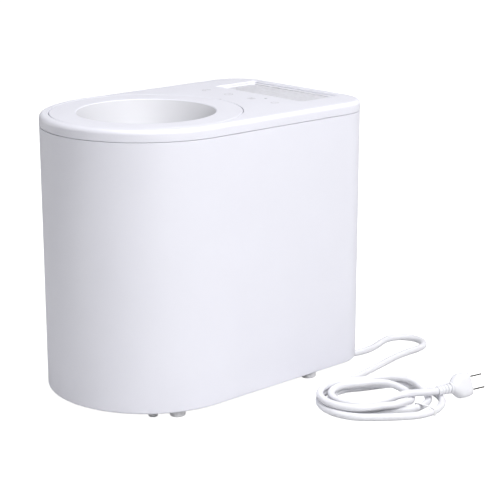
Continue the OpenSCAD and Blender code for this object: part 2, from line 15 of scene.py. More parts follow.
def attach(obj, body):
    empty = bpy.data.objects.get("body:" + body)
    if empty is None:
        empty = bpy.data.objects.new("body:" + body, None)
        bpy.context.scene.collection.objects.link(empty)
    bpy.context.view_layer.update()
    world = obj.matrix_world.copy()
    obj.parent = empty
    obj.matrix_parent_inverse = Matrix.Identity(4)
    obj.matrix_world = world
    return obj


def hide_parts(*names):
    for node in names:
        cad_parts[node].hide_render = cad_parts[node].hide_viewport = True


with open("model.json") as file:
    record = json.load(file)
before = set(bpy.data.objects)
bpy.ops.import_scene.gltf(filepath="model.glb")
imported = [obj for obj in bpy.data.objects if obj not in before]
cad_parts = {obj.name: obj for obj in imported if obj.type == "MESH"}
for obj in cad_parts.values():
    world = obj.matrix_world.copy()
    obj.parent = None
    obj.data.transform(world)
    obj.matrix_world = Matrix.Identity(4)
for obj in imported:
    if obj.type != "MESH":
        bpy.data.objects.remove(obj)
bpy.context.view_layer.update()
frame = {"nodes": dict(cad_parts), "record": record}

MM = 0.001
SLOT_OF = {p["node"]: p["material_slot"] for p in frame["record"]["subparts"]}
BODY_OF = {
    node: body
    for body, members in frame["record"]["behaviour"]["bodies"].items()
    for node in members
}

# ---- sizes shared with the CAD parts, in mm ----

HALF_W = 100.0
ROUND_X = -54.0
CORNER_R = 38.0
CORNER_X = 116.0
CORNER_Y = 62.0
HALF_L = 154.0
FOOT_H = 7.0
SEAM_Z = 261.0
PLATE_Z = 268.0
TOP_Z = 272.0
EDGE_R = 4.5
WALL = 3.0
LID_R = 90.6
LID_HOLE_R = 91.2
FUNNEL_R = 66.2
OUTLET_R = 41.0
THROAT_Z = 251.0
THROAT_END_Z = 248.0
GRILLE_X = 115.0
GRILLE_HALF_L = 27.0
GRILLE_HALF_W = 62.0
MARK_X = 64.5
MARK_PITCH = 33.3
LAMP = (75.0, -26.0)
CORD_D = 7.0
EXIT = (72.0, -54.0, 18.0)
EXIT_TURN = -17.0
PLUG = (113.3, -223.7, 12.0)
PLUG_TURN = -11.0
PLUG_ROLL = -25.0
SLEEVE_L = 17.0
SEAM_GAP = 0.5
DOT_X = 39.0

# ---- camera ----

CAMERA_AT = (-0.9389, -1.1048, 0.5233)
CAMERA_AIM = (0.65322, 0.70963, -0.26408)

camera = bpy.data.objects.new("camera", bpy.data.cameras.new("camera"))
bpy.context.scene.collection.objects.link(camera)
camera.data.sensor_width = 36.0
camera.data.lens = 109.85
camera.data.clip_start = 0.01
camera.data.clip_end = 200.0
camera.location = CAMERA_AT
camera.rotation_mode = "QUATERNION"
camera.rotation_quaternion = Vector(CAMERA_AIM).to_track_quat("-Z", "Y")
bpy.context.scene.camera = camera

# ---- materials ----


def link(tree, source, target):
    tree.links.new(source, target)


def noise(tree, coordinates, scale, detail=2.0):
    n = tree.nodes.new("ShaderNodeTexNoise")
    n.inputs["Scale"].default_value = scale
    n.inputs["Detail"].default_value = detail
    link(tree, coordinates, n.inputs["Vector"])
    return n.outputs["Fac"]


def surface(
    name, colour, spread=0.02, tone_scale=40.0, rough=(0.4, 0.5), rough_scale=90.0,
    grain_scale=2500.0, grain=0.2, depth=0.00002, stretch=None, pattern=None, **constants
):
    """A procedural plastic, rubber, metal, paper or foam.

    spread is how far the colour strays, grain the bump's strength and depth its
    height in metres. stretch scales the coordinates, for brushed or woven looks.
    pattern is (kind, scale, how much darker) of a second, regular pattern.
    """
    m = bpy.data.materials.new(name)
    m.use_nodes = True
    tree = m.node_tree
    shader = tree.nodes["Principled BSDF"]
    where = tree.nodes.new("ShaderNodeTexCoord").outputs["Object"]
    if stretch:
        mapping = tree.nodes.new("ShaderNodeMapping")
        mapping.inputs["Scale"].default_value = stretch
        link(tree, where, mapping.inputs["Vector"])
        where = mapping.outputs["Vector"]

    ramp = tree.nodes.new("ShaderNodeValToRGB")
    dark = [c * (1 - spread) for c in colour]
    light = [min(1.0, c * (1 + spread)) for c in colour]
    ramp.color_ramp.elements[0].position = 0.3
    ramp.color_ramp.elements[0].color = (*dark, 1)
    ramp.color_ramp.elements[1].position = 0.7
    ramp.color_ramp.elements[1].color = (*light, 1)
    link(tree, noise(tree, where, tone_scale), ramp.inputs["Fac"])
    tint = ramp.outputs["Color"]

    height = noise(tree, where, grain_scale, 4.0)
    if pattern:
        kind, scale, darker = pattern
        if kind == "cells":
            cells = tree.nodes.new("ShaderNodeTexVoronoi")
            cells.inputs["Scale"].default_value = scale
            link(tree, where, cells.inputs["Vector"])
            second = cells.outputs["Distance"]
        else:
            wave = tree.nodes.new("ShaderNodeTexWave")
            wave.bands_direction = kind
            wave.inputs["Scale"].default_value = scale
            wave.inputs["Distortion"].default_value = 0.6
            link(tree, where, wave.inputs["Vector"])
            second = wave.outputs["Fac"]
        shade = tree.nodes.new("ShaderNodeValToRGB")
        shade.color_ramp.elements[0].color = (1 - darker, 1 - darker, 1 - darker, 1)
        shade.color_ramp.elements[1].color = (1, 1, 1, 1)
        link(tree, second, shade.inputs["Fac"])
        mix = tree.nodes.new("ShaderNodeMix")
        mix.data_type = "RGBA"
        mix.blend_type = "MULTIPLY"
        mix.inputs["Factor"].default_value = 1.0
        link(tree, tint, mix.inputs["A"])
        link(tree, shade.outputs["Color"], mix.inputs["B"])
        tint = mix.outputs["Result"]
        add = tree.nodes.new("ShaderNodeMath")
        add.operation = "ADD"
        link(tree, height, add.inputs[0])
        link(tree, second, add.inputs[1])
        height = add.outputs["Value"]
    link(tree, tint, shader.inputs["Base Color"])

    spread_rough = tree.nodes.new("ShaderNodeMapRange")
    spread_rough.inputs["From Min"].default_value = 0.3
    spread_rough.inputs["From Max"].default_value = 0.7
    spread_rough.inputs["To Min"].default_value = rough[0]
    spread_rough.inputs["To Max"].default_value = rough[1]
    link(tree, noise(tree, where, rough_scale), spread_rough.inputs["Value"])
    link(tree, spread_rough.outputs["Result"], shader.inputs["Roughness"])

    bump = tree.nodes.new("ShaderNodeBump")
    bump.inputs["Strength"].default_value = grain
    bump.inputs["Distance"].default_value = depth
    link(tree, height, bump.inputs["Height"])
    link(tree, bump.outputs["Normal"], shader.inputs["Normal"])
    for socket, value in constants.items():
        shader.inputs[socket.replace("_", " ")].default_value = value
    return m


WHITE = (0.83, 0.83, 0.905)
LOOKS = {
    "shell_white": surface(
        "shell_white", WHITE, 0.008, 14, (0.44, 0.52), 60, 2600, 0.25, 0.00002
    ),
    # funnel_white is the shell's own white plastic made darker: painted shade for the funnel's
    # inner walls
    "funnel_white": surface(
        "funnel_white", (0.64, 0.64, 0.68), 0.008, 14, (0.48, 0.56), 60, 2600, 0.25, 0.00002
    ),
    "base_white": surface(
        "base_white", (0.78, 0.78, 0.8), 0.012, 20, (0.45, 0.56), 70, 1800, 0.3, 0.00003
    ),
    "foot_rubber": surface(
        "foot_rubber", (0.8, 0.8, 0.82), 0.06, 120, (0.75, 0.9), 200, 1500, 0.5, 0.00006
    ),
    "zinc_steel": surface(
        "zinc_steel", (0.62, 0.62, 0.64), 0.05, 300, (0.25, 0.4), 500, 3000, 0.2,
        0.00002, Metallic=1.0
    ),
    "label_foil": surface(
        "label_foil", (0.72, 0.72, 0.74), 0.03, 60, (0.3, 0.42), 150, 1200, 0.2,
        0.00002, stretch=(1, 12, 1), Metallic=0.7
    ),
    "mark_grey": surface(
        "mark_grey", (0.5, 0.5, 0.54), 0.03, 200, (0.4, 0.5), 300, 3000, 0.2, 0.00001
    ),
    "lamp_lens": surface(
        "lamp_lens", (0.62, 0.66, 0.72), 0.03, 300, (0.15, 0.25), 400, 2500, 0.1,
        0.00001, Transmission_Weight=0.3
    ),
    "tank_clear": surface(
        "tank_clear", (0.72, 0.8, 0.86), 0.03, 25, (0.12, 0.2), 80, 900, 0.15,
        0.00003, Transmission_Weight=0.75, IOR=1.49
    ),
    "seal_rubber": surface(
        "seal_rubber", (0.55, 0.56, 0.58), 0.05, 100, (0.7, 0.85), 200, 1800, 0.4, 0.00004
    ),
    "float_white": surface(
        "float_white", (0.86, 0.86, 0.86), 0.02, 90, (0.4, 0.5), 200, 1500, 0.4, 0.00004
    ),
    "ferrite": surface(
        "ferrite", (0.1, 0.1, 0.11), 0.2, 400, (0.5, 0.7), 500, 2500, 0.5, 0.00004
    ),
    "wick_paper": surface(
        "wick_paper", (0.66, 0.76, 0.84), 0.06, 180, (0.85, 0.95), 300, 2400, 0.8,
        0.00012, pattern=("Z", 130, 0.18)
    ),
    "wick_plastic": surface(
        "wick_plastic", (0.38, 0.56, 0.72), 0.03, 60, (0.35, 0.5), 120, 1600, 0.3, 0.00003
    ),
    "grille_grey": surface(
        "grille_grey", (0.87, 0.87, 0.92), 0.04, 160, (0.45, 0.58), 240, 2200, 0.3, 0.00003
    ),
    "filter_foam": surface(
        "filter_foam", (0.87, 0.87, 0.91), 0.12, 500, (0.9, 1.0), 300, 2600, 0.8,
        0.0003, pattern=("cells", 900, 0.45)
    ),
    "fan_black": surface(
        "fan_black", (0.05, 0.05, 0.055), 0.1, 90, (0.38, 0.52), 160, 1800, 0.3, 0.00003
    ),
    "copper_wire": surface(
        "copper_wire", (0.7, 0.33, 0.16), 0.1, 300, (0.25, 0.4), 400, 2500, 0.4,
        0.0001, pattern=("X", 900, 0.5), Metallic=1.0
    ),
    "board_green": surface(
        "board_green", (0.03, 0.2, 0.08), 0.15, 250, (0.25, 0.4), 400, 1400, 0.3,
        0.00004, pattern=("cells", 260, 0.3)
    ),
    "spring_steel": surface(
        "spring_steel", (0.8, 0.68, 0.4), 0.05, 300, (0.2, 0.35), 400, 2500, 0.2,
        0.00002, Metallic=1.0
    ),
    "core_iron": surface(
        "core_iron", (0.33, 0.29, 0.25), 0.15, 200, (0.45, 0.65), 300, 2000, 0.5,
        0.00006, pattern=("Z", 500, 0.4), Metallic=0.6
    ),
    "chip_black": surface(
        "chip_black", (0.035, 0.035, 0.04), 0.15, 300, (0.5, 0.65), 400, 2600, 0.4, 0.00003
    ),
    "terminal_green": surface(
        "terminal_green", (0.1, 0.42, 0.22), 0.06, 120, (0.4, 0.5), 200, 1700, 0.3, 0.00003
    ),
    "wire_red": surface(
        "wire_red", (0.55, 0.05, 0.04), 0.08, 200, (0.35, 0.5), 300, 1800, 0.3, 0.00003
    ),
    "wire_brown": surface(
        "wire_brown", (0.28, 0.13, 0.06), 0.08, 200, (0.35, 0.5), 300, 1800, 0.3, 0.00003
    ),
    "cord_white": surface(
        "cord_white", (0.8, 0.8, 0.84), 0.01, 60, (0.42, 0.52), 120, 2200, 0.3,
        0.00003
    ),
    "tie_white": surface(
        "tie_white", (0.86, 0.86, 0.88), 0.02, 200, (0.3, 0.4), 300, 2000, 0.3, 0.00004
    ),
    "blade_metal": surface(
        "blade_metal", (0.52, 0.5, 0.47), 0.05, 400, (0.22, 0.34), 500, 2500, 0.25,
        0.00002, stretch=(1, 1, 6), Metallic=1.0
    ),
}

# ---- mesh tools ----


def arc(cx, cy, r, start, end, steps):
    """Points of an arc, in degrees, both ends included."""
    turns = [math.radians(start + (end - start) * i / steps) for i in range(steps + 1)]
    return [(cx + r * math.cos(t), cy + r * math.sin(t)) for t in turns]


def between(a, b, steps):
    """Points strictly between a and b."""
    return [
        (a[0] + (b[0] - a[0]) * i / steps, a[1] + (b[1] - a[1]) * i / steps)
        for i in range(1, steps)
    ]


def outline(inset):
    """The body's outline seen from above, counter-clockwise."""
    r = CORNER_R - inset
    side_y = HALF_W - inset
    end_x = HALF_L - inset
    points = arc(ROUND_X, 0, side_y, 90, 270, 96)
    points += between((ROUND_X, -side_y), (CORNER_X, -side_y), 12)
    points += arc(CORNER_X, -CORNER_Y, r, -90, 0, 22)
    points += between((end_x, -CORNER_Y), (end_x, CORNER_Y), 10)
    points += arc(CORNER_X, CORNER_Y, r, 0, 90, 22)
    points += between((CORNER_X, side_y), (ROUND_X, side_y), 12)
    return points


def rounded_box(cx, cy, half_x, half_y, r, steps=6):
    """A rounded rectangle, counter-clockwise."""
    points = []
    for sx, sy, start in ((1, 1, 0), (-1, 1, 90), (-1, -1, 180), (1, -1, 270)):
        points += arc(
            cx + sx * (half_x - r), cy + sy * (half_y - r), r, start, start + 90, steps
        )
    return points


def rounded(points, closed=False, steps=5):
    """Corners (x, y, radius) of a line or closed shape, as a line with round corners."""
    out = []
    count = len(points)
    for i, (x, y, r) in enumerate(points):
        if r == 0 or (not closed and i in (0, count - 1)):
            out.append((x, y))
            continue
        p = Vector((x, y))
        a = (Vector(points[i - 1][:2]) - p).normalized()
        b = (Vector(points[(i + 1) % count][:2]) - p).normalized()
        half = a.angle(b) / 2
        cut = r / math.tan(half)
        centre = p + (a + b).normalized() * (r / math.sin(half))
        v0 = p + a * cut - centre
        v1 = p + b * cut - centre
        start = math.atan2(v0.y, v0.x)
        sweep = (math.atan2(v1.y, v1.x) - start + math.pi) % (2 * math.pi) - math.pi
        for k in range(steps + 1):
            t = start + sweep * k / steps
            out.append((centre.x + r * math.cos(t), centre.y + r * math.sin(t)))
    return out


class Solid:
    """A mesh under construction, in mm."""

    def __init__(self, place=None):
        self.bm = bmesh.new()
        self.place = place or Matrix.Identity(4)

    def vert(self, x, y, z):
        return self.bm.verts.new(self.place @ Vector((x, y, z)))

    def loop(self, points, z):
        return [self.vert(x, y, z) for x, y in points]

    def wall(self, a, b):
        """Faces between two closed loops of the same count."""
        for i in range(len(a)):
            j = (i + 1) % len(a)
            self.bm.faces.new((a[i], a[j], b[j], b[i]))

    def walls(self, loops, closed=False):
        for a, b in zip(loops, loops[1:]):
            self.wall(a, b)
        if closed:
            self.wall(loops[-1], loops[0])

    def fill(self, *loops):
        """A flat face bounded by closed loops, with the inner ones as holes."""
        edges = []
        for loop in loops:
            for i in range(len(loop)):
                pair = (loop[i], loop[(i + 1) % len(loop)])
                edges.append(self.bm.edges.get(pair) or self.bm.edges.new(pair))
        bmesh.ops.triangle_fill(self.bm, edges=edges, use_beauty=True)

    def cap(self, loop):
        self.bm.faces.new(loop)

    def lathe(self, profile, steps=96, closed=True):
        """Turns (radius, height) points about the z axis; radius 0 is a pole."""
        rings = []
        for r, h in profile:
            if r < 1e-6:
                rings.append([self.vert(0, 0, h)])
            else:
                rings.append(self.loop(arc(0, 0, r, 0, 360, steps)[:-1], h))
        pairs = list(zip(rings, rings[1:]))
        if closed:
            pairs.append((rings[-1], rings[0]))
        for a, b in pairs:
            if len(a) == 1 and len(b) == 1:
                continue
            if len(a) == 1 or len(b) == 1:
                pole, ring = (a[0], b) if len(a) == 1 else (b[0], a)
                for i in range(len(ring)):
                    self.bm.faces.new((pole, ring[i], ring[(i + 1) % len(ring)]))
            else:
                self.wall(a, b)

    def finish(self, name, body, slot, replaces=(), sharp=35.0):
        bm = self.bm
        for v in bm.verts:
            v.co *= MM
        bmesh.ops.recalc_face_normals(bm, faces=bm.faces)
        mesh = bpy.data.meshes.new(name)
        bm.to_mesh(mesh)
        bm.free()
        return piece(name, mesh, body, slot, replaces, sharp)


def shrink(points, by):
    """A convex outline moved inward, corner by corner."""
    out = []
    count = len(points)
    for i in range(count):
        p = Vector(points[i])
        a = (p - Vector(points[i - 1])).normalized()
        b = (Vector(points[(i + 1) % count]) - p).normalized()
        normal = Vector((-(a + b).y, (a + b).x)).normalized()
        out.append(tuple(p + normal * by))
    return out


def piece(name, mesh, body, slot, replaces=(), sharp=35.0):
    """Links a finished mesh as a piece of the object."""
    obj = bpy.data.objects.new(name, mesh)
    bpy.context.scene.collection.objects.link(obj)
    mesh.materials.clear()
    mesh.materials.append(LOOKS[slot])
    mesh.shade_smooth()
    mesh.set_sharp_from_angle(angle=math.radians(sharp))
    weighted = obj.modifiers.new("normals", "WEIGHTED_NORMAL")
    weighted.keep_sharp = True
    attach(obj, body)
    if replaces:
        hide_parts(*replaces)
    return obj


def turned_about(point, z_turn, tilt=0.0):
    """Places a local shape at point, tilted about y and then turned about z, in degrees."""
    return (
        Matrix.Translation(Vector(point))
        @ Matrix.Rotation(math.radians(z_turn), 4, "Z")
        @ Matrix.Rotation(math.radians(tilt), 4, "Y")
    )


# ---- the mains lead, its coil and its plug ----

# the same route as in the CAD model, from the gland to the coil
ROUTE = [
    (96.9, -61.6, 18), (103, -63.5, 17.6), (113, -66.5, 15.4), (123, -69.6, 11.8),
    (133, -72.7, 7.6), (143, -75.7, 4.6), (153, -78.4, 3.6), (165, -80.2, 3.6),
    (178, -79.6, 3.6), (190, -76.4, 3.6), (201.5, -72.6, 3.6), (213, -70.7, 3.6),
    (223.6, -73.6, 3.6), (231.4, -81.4, 3.6), (234.3, -92, 3.6), (231.4, -102.6, 3.6),
    (223.6, -110.4, 3.6), (213, -113.3, 3.6), (199, -113.4, 3.6), (184, -114, 3.6),
    (168, -116.4, 3.6), (152, -119.6, 3.6), (136, -122.8, 3.6), (120, -125.8, 3.6),
    (105, -128.4, 3.6), (90, -131.1, 3.6), (79, -133, 3.6), (69, -134.8, 3.6),
]
COIL_AT = (72.0, -189.5)
COIL_TURN = math.radians(-38.0)
# u of the arc centre that the tie lies across
COIL_RUN = 16.0
# centreline heights of the strands on the floor and of those on top of them
LOW = 3.6
HIGH = 10.6
# half turns, left and right in turn: arc centre (u, v), radius, heights of its two ends
HALF_TURNS = [
    (-16, 0, 42.4, LOW, LOW), (16, 0, 42.4, LOW, LOW),
    (-16, 4, 31.0, LOW, LOW), (12, 8, 35.0, LOW, HIGH),
    (-22, 0, 36.0, HIGH, HIGH), (-2, -1, 31.0, HIGH, HIGH),
    (-20, 0, 27.0, HIGH, HIGH),
]
# part of the first left arc that the lead has passed where it joins
JOIN = 0.27
# steps from one end of a half turn to the other
STEPS = 12
# parts of a half turn between which the cord climbs
CLIMB = (0.5, 0.82)
# the half turn that sags, how far, and the parts between which it sinks and rises
SAGGING = 5
SAG = 3.0
SINK = (0.22, 0.4)
RISE = (0.6, 0.9)


def coil_world(u, v, z):
    """A point of the coil's own frame, u along it and v across it."""
    c, s = math.cos(COIL_TURN), math.sin(COIL_TURN)
    return (COIL_AT[0] + c * u - s * v, COIL_AT[1] + s * u + c * v, z)


def ease(t, start, end):
    """0 before start, 1 after end, smooth between."""
    x = min(1.0, max(0.0, (t - start) / (end - start)))
    return x * x * (3 - 2 * x)


def coil_point(half, part):
    """A point of the coil, a part of the way along a half turn, counter-clockwise."""
    u, v, radius, start, end = HALF_TURNS[half]
    angle = math.radians(90 + 180 * (half % 2 + part))
    z = start + (end - start) * ease(part, *CLIMB)
    if half == SAGGING:
        z -= SAG * ease(part, *SINK) * (1 - ease(part, *RISE))
    return coil_world(u + radius * math.cos(angle), v + radius * math.sin(angle), z)


def coil_points():
    points = []
    for half in range(len(HALF_TURNS)):
        first = JOIN if half == 0 else 0.0
        for i in range(STEPS + 1):
            points.append(coil_point(half, first + (1 - first) * i / STEPS))
    return points


# the cord after its last half turn, over the coil and down to the plug
LEAVE = [
    coil_world(-9, -25.4, 11), coil_world(2, -21.8, 12.4),
    coil_world(13, -17.8, 14.4), coil_world(23, -14.2, 15.2),
    coil_world(33, -10.4, 14.2), coil_world(42, -6.6, 12.9),
    coil_world(48, -4.0, 12.2), PLUG,
]


def cord_curve():
    """The whole cord as one curve, from the gland through the coil to the plug."""
    points = ROUTE + coil_points() + LEAVE
    data = bpy.data.curves.new("power_cord", "CURVE")
    data.dimensions = "3D"
    data.bevel_depth = CORD_D / 2 * MM
    data.bevel_resolution = 6
    data.resolution_u = 5
    data.use_fill_caps = True
    spline = data.splines.new("BEZIER")
    spline.bezier_points.add(len(points) - 1)
    for knot, p in zip(spline.bezier_points, points):
        knot.co = Vector(p) * MM
        knot.handle_left_type = knot.handle_right_type = "AUTO"
    obj = bpy.data.objects.new("power_cord_line", data)
    bpy.context.scene.collection.objects.link(obj)
    data.materials.append(LOOKS["cord_white"])
    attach(obj, "housing_body")
    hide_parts("power_cord", "cord_coil", "cord_tail")
    return obj


def line_length(obj):
    """Length of a curve's own line, in metres."""
    bpy.context.view_layer.update()
    return obj.data.splines[0].calc_length()


def strain_relief():
    """Tapered sleeve with soft grooves where the lead leaves the base."""
    length = 26.0
    profile = [(3.4, -6, 0), (6.4, -6, 0.5), (6.4, -3.4, 0.4), (5.3, -3.4, 0.2)]
    profile += [(5.3, 0.2, 0.2), (6.0, 0.2, 0.3)]
    for z in (6.0, 11.0, 16.0, 21.0):
        r = 6.0 - 1.5 * z / length
        profile += [(r, z, 0.25), (4.5, z + 0.2, 0.3), (4.5, z + 1.4, 0.3), (r, z + 1.6, 0.25)]
    profile += [(4.5, length, 0.4), (3.4, length, 0)]
    shape = Solid(turned_about(EXIT, EXIT_TURN, 90))
    shape.lathe(rounded(profile, steps=3), 48)
    return shape.finish("strain_relief", "housing_body", "cord_white", ["cord_gland"])


def along_plug():
    """Places a local shape in the plug's frame, x along the plug."""
    return turned_about(PLUG, PLUG_TURN) @ Matrix.Rotation(math.radians(PLUG_ROLL), 4, "X")


def plug_sleeve():
    """Ribbed bend sleeve between the lead and the plug."""
    groove = 3.9
    profile = [(3.3, 0, 0), (4.6, 0, 0.5)]
    for z in (2.4, 6.0, 9.6, 13.2):
        r = 4.5 + 1.1 * z / SLEEVE_L
        profile += [(r, z, 0.35), (groove, z + 0.3, 0.3)]
        profile += [(groove, z + 1.5, 0.3), (r + 0.1, z + 1.8, 0.35)]
    profile += [(5.7, SLEEVE_L, 0.2), (3.3, SLEEVE_L, 0)]
    shape = Solid(turned_about(PLUG, PLUG_TURN, 90))
    shape.lathe(rounded(profile, steps=3), 48)
    return shape.finish("plug_sleeve", "housing_body", "cord_white", ["plug_boot"])


def plug_head():
    """Moulded plug: a flat rounded grip that narrows to the sleeve."""
    start = SLEEVE_L
    # distance along, half thickness, half width, squareness
    stations = [
        (0.0, 5.2, 5.2, 2.0), (0.6, 5.8, 5.8, 2.0), (2.4, 6.3, 7.4, 2.1),
        (4.6, 6.7, 9.6, 2.4), (7.0, 6.9, 11.2, 2.8), (9.5, 7.0, 11.9, 3.2),
        (13.0, 7.0, 12.0, 3.6), (16.5, 7.0, 11.9, 3.8), (19.4, 6.8, 11.5, 3.8),
        (21.0, 6.3, 10.8, 3.6), (21.8, 5.4, 9.8, 3.4), (22.0, 4.4, 8.6, 3.2),
    ]
    shape = Solid(along_plug())
    rings = []
    for along, half_t, half_w, power in stations:
        ring = []
        for i in range(64):
            a = 2 * math.pi * i / 64
            c, s = math.cos(a), math.sin(a)
            y = half_t * math.copysign(abs(c) ** (2 / power), c)
            z = half_w * math.copysign(abs(s) ** (2 / power), s)
            ring.append(shape.vert(start + along, y, z))
        rings.append(ring)
    shape.walls(rings)
    shape.cap(rings[0])
    shape.cap(rings[-1])
    return shape.finish("plug_head", "housing_body", "cord_white", ["plug_body"], 50)


def plug_prongs():
    """Two flat blades with rounded tips and a hole in each."""
    root, length, width, thick, apart, hole = 38.9, 16.0, 6.3, 1.5, 12.7, 1.6
    shape = Solid(along_plug())
    for side in (-1, 1):
        z = side * apart / 2
        outer = rounded(
            [
                (root, -width / 2, 0), (root + length, -width / 2, 1.6),
                (root + length, width / 2, 1.6), (root, width / 2, 0),
            ],
            closed=True,
        )
        inner = shrink(outer, 0.2)
        ring = arc(root + length - 4, 0, hole, 0, 360, 24)[:-1]
        loops = [
            shape.loop(inner, z - thick / 2), shape.loop(outer, z - thick / 2 + 0.2),
            shape.loop(outer, z + thick / 2 - 0.2), shape.loop(inner, z + thick / 2),
        ]
        holes = [shape.loop(ring, z - thick / 2), shape.loop(ring, z + thick / 2)]
        shape.walls(loops)
        shape.wall(holes[0], holes[1])
        shape.fill(loops[0], holes[0])
        shape.fill(loops[-1], holes[1])
    return shape.finish("plug_prongs", "housing_body", "blade_metal", ["plug_blades"], 25)


def twist_tie():
    """Thin flat tie over lower turns, reaching the floor on both sides."""
    width, thick = 3.4, 0.7
    turn = -50.0
    inner, outer, top = 22.2, 46.1, 7.6
    place = (
        turned_about((*COIL_AT, 0), math.degrees(COIL_TURN))
        @ Matrix.Translation((COIL_RUN, 0, 0))
        @ Matrix.Rotation(math.radians(turn), 4, "Z")
    )
    shape = Solid(place)
    path = rounded(
        [(inner, 0.15, 0), (inner, top, 3.2), (outer, top, 3.2), (outer, 0.15, 0)],
        steps=8,
    )
    rings = []
    for i, (r, z) in enumerate(path):
        a = Vector(path[max(i - 1, 0)])
        b = Vector(path[min(i + 1, len(path) - 1)])
        along = (b - a).normalized()
        out = Vector((-along.y, along.x))
        section = [(-1, -0.7), (-0.85, -1), (0.85, -1), (1, -0.7),
                   (1, 0.7), (0.85, 1), (-0.85, 1), (-1, 0.7)]
        rings.append([
            shape.vert(r + out.x * q * thick / 2, p * width / 2, z + out.y * q * thick / 2)
            for p, q in section
        ])
    shape.walls(rings)
    shape.cap(rings[0])
    shape.cap(rings[-1])
    return shape.finish("twist_tie", "housing_body", "tie_white", ["cord_tie"], 30)


cord = cord_curve()
relief = strain_relief()
sleeve = plug_sleeve()
head = plug_head()
prongs = plug_prongs()
tie = twist_tie()
cord_length = line_length(cord)

# ---- housing and top cover ----


def housing():
    """Outer shell: one wall all the way round, notched over the lead."""
    top = SEAM_Z - SEAM_GAP / 2
    profile = rounded(
        [
            (WALL, FOOT_H, 0.3), (0, FOOT_H, 2.0), (0, top, 0.35), (WALL, top, 0.3),
        ],
        closed=True,
    )
    shape = Solid()
    shape.walls([shape.loop(outline(inset), z) for inset, z in profile], closed=True)
    shell = shape.finish("housing_shell", "housing_body", "shell_white", ["housing"])

    # notch over the lead, rounded at its top
    cutter = Solid(turned_about((CORNER_X, -CORNER_Y, 0), EXIT_TURN))
    ends = []
    for x in (20.0, 50.0):
        section = rounded(
            [(-13.1, -5, 0), (1.9, -5, 0), (1.9, 12, 5), (-13.1, 12, 5)], closed=True
        )
        ends.append([cutter.vert(x, y, z) for y, z in section])
    cutter.walls(ends)
    cutter.cap(ends[0])
    cutter.cap(ends[1])
    tool = cutter.finish("notch_tool", "housing_body", "shell_white")
    cut_away(shell, tool)
    return shell


def cut_away(obj, tool):
    """Subtracts tool from obj's mesh for good."""
    bpy.context.view_layer.update()
    cut = obj.modifiers.new("cut", "BOOLEAN")
    cut.operation = "DIFFERENCE"
    cut.solver = "EXACT"
    cut.object = tool
    obj.modifiers.move(len(obj.modifiers) - 1, 0)
    weighted = obj.modifiers["normals"]
    weighted.show_viewport = False
    bpy.context.view_layer.update()
    evaluated = obj.evaluated_get(bpy.context.evaluated_depsgraph_get())
    mesh = bpy.data.meshes.new_from_object(evaluated)
    mesh.name = obj.data.name
    obj.modifiers.remove(cut)
    weighted.show_viewport = True
    obj.data = mesh
    mesh.shade_smooth()
    mesh.set_sharp_from_angle(angle=math.radians(35))
    bpy.data.objects.remove(tool)


def housing_fittings():
    """Bosses for the base screws and posts for the control board, on the walls inside."""
    boss_z, boss_h = 11.8, 16.0
    pieces = Solid()
    for x, y in ((54, -91.5), (54, 91.5), (145.5, -40), (145.5, 40)):
        pieces.place = Matrix.Translation((x, y, 0))
        pieces.lathe(
            rounded(
                [(1.6, boss_z, 0.2), (4.5, boss_z, 0.3), (4.5, boss_z + boss_h, 0.5),
                 (1.6, boss_z + boss_h, 0.2)],
                closed=True, steps=3,
            ),
            40,
        )
    for y in (-44, 44):
        for z in (66, 134):
            pieces.place = turned_about((145.5, y, z), 0, 90)
            post = rounded([(0, 0, 0), (3, 0, 0.4), (3, 6, 0), (0, 6, 0)], steps=3)
            pieces.lathe(post, 32, False)
    return pieces.finish("housing_fittings", "housing_body", "shell_white")


def top_cover():
    """Cover with a round top edge, the lid's hole, the grille's pocket and the lamp's hole."""
    bottom = SEAM_Z + SEAM_GAP / 2
    lip_in, lip_out, lip_z = 3.2, 6.5, 256.0
    pocket_z, ledge_z, ledge, frame_t = 257.0, 259.0, 3.0, 2.0
    shape = Solid()

    rim = rounded(
        [
            (EDGE_R + 3, TOP_Z, 0), (0, TOP_Z, EDGE_R), (0, bottom, 0.35),
            (lip_in, bottom, 0), (lip_in, lip_z, 0.3), (lip_out, lip_z, 0.3),
            (lip_out, PLATE_Z, 0),
        ],
        steps=8,
    )
    rim = rim[1:]
    outer = [shape.loop(outline(inset), z) for inset, z in rim]
    shape.walls(outer)

    hole = rounded(
        [(LID_HOLE_R + 3, TOP_Z, 0), (LID_HOLE_R, TOP_Z, 0.5), (LID_HOLE_R, PLATE_Z, 0)],
        steps=5,
    )[1:]
    bore = [shape.loop(arc(ROUND_X, 0, r, 0, 360, 144)[:-1], z) for r, z in hole]
    shape.walls(bore)

    def box_loop(grow, z):
        half_l, half_w = GRILLE_HALF_L + grow, GRILLE_HALF_W + grow
        corner = 2.2 + max(grow, -1.2)
        return shape.loop(rounded_box(GRILLE_X, 0, half_l, half_w, corner), z)

    slope = rounded(
        [(3, TOP_Z, 0), (0.9, TOP_Z, 0.5), (0, TOP_Z - 1.3, 0.4), (0, ledge_z, 0)]
    )[1:]
    pocket = [box_loop(grow, z) for grow, z in slope]
    pocket += [
        box_loop(-ledge, ledge_z), box_loop(-ledge, pocket_z),
        box_loop(frame_t, pocket_z), box_loop(frame_t, PLATE_Z),
    ]
    shape.walls(pocket)

    lamp = [
        shape.loop(arc(*LAMP, r, 0, 360, 32)[:-1], z)
        for r, z in ((2.0, TOP_Z), (1.7, TOP_Z - 0.3), (1.7, PLATE_Z))
    ]
    shape.walls(lamp)
    shape.fill(outer[0], bore[0], pocket[0], lamp[0])
    shape.fill(outer[-1], bore[-1], pocket[-1], lamp[-1])
    return shape.finish("cover_shell", "housing_body", "shell_white", ["top_cover"])


